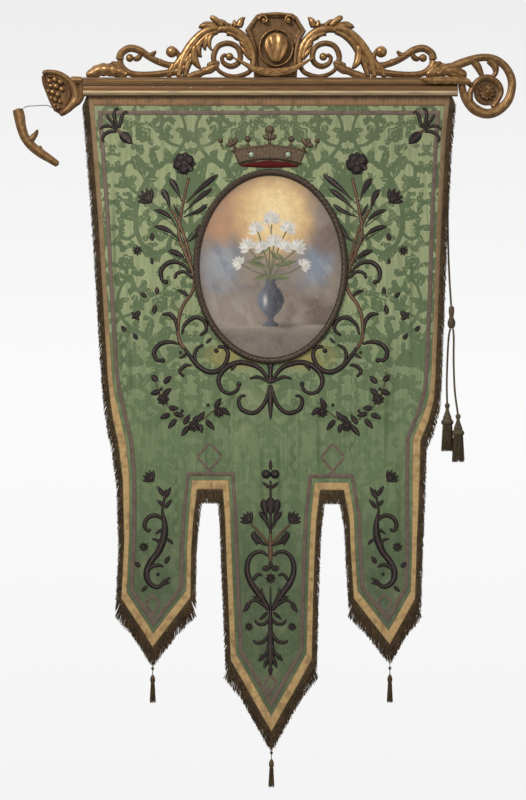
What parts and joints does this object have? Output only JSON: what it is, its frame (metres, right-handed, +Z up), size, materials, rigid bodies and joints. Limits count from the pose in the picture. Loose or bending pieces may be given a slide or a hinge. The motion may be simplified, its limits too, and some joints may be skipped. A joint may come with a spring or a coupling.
{
  "type": "church banner on a carved crossbar",
  "caption": "Tall silk church banner with three pointed tails, fringed and braided, hung from a carved gilt crossbar, with a corded tie at one side.",
  "frame": {"origin": "middle of the crossbar's length, on its flat back face, at mid height of the moulding", "axes": "+X to the viewer's right, +Y from the banner's front to its back, +Z up"},
  "size_m": [1.6053, 0.0673, 2.478],
  "materials": {
    "gilt_wood": "water gilding, worn, with brown shadows and dark red-brown recesses",
    "green_silk": "silk damask with a low sheen, pale green ground and mid green figure",
    "gold_galloon": "woven metal-thread galloon, satin",
    "heading_silk": "faded ribbed silk",
    "tarnished_braid": "narrow woven braid, tarnished",
    "bullion_fringe": "twisted metal-thread fringe, tarnished nearly black",
    "gold_thread": "padded metal-thread embroidery, tarnished",
    "painted_canvas": "oil-painted canvas, varnished",
    "red_velvet": "short-pile velvet",
    "brown_cord": "twisted silk cord, faded",
    "iron_wire": "dull iron wire"
  },
  "bodies": {
    "root": {"crossbar": "gilt_wood", "cresting": "gilt_wood", "garland": "gilt_wood", "left_end_scroll": "gilt_wood", "scroll_fragment": "gilt_wood", "cloth_panel": "green_silk", "galloon": "gold_galloon", "heading_band": "heading_silk", "narrow_braid": "tarnished_braid", "fringe_left": "bullion_fringe", "fringe_left_hem": "bullion_fringe", "fringe_left_slot_outer": "bullion_fringe", "fringe_left_slot_head": "bullion_fringe", "fringe_left_slot_inner": "bullion_fringe", "fringe_middle_hem": "bullion_fringe", "fringe_right_slot_inner": "bullion_fringe", "fringe_right_slot_head": "bullion_fringe", "fringe_right_slot_outer": "bullion_fringe", "fringe_right_hem": "bullion_fringe", "fringe_right": "bullion_fringe", "tassel_left": "bullion_fringe", "tassel_middle": "bullion_fringe", "tassel_right": "bullion_fringe", "oval_rim": "gold_thread", "crown": "gold_thread", "oval_canvas": "painted_canvas", "crown_velvet": "red_velvet", "tie_cord": "brown_cord", "tie_knot": "brown_cord", "tie_strand_left": "brown_cord", "tie_strand_right": "brown_cord", "tie_tassel_left": "brown_cord", "tie_tassel_right": "brown_cord", "fragment_wire": "iron_wire"}
  },
  "joints": []
}
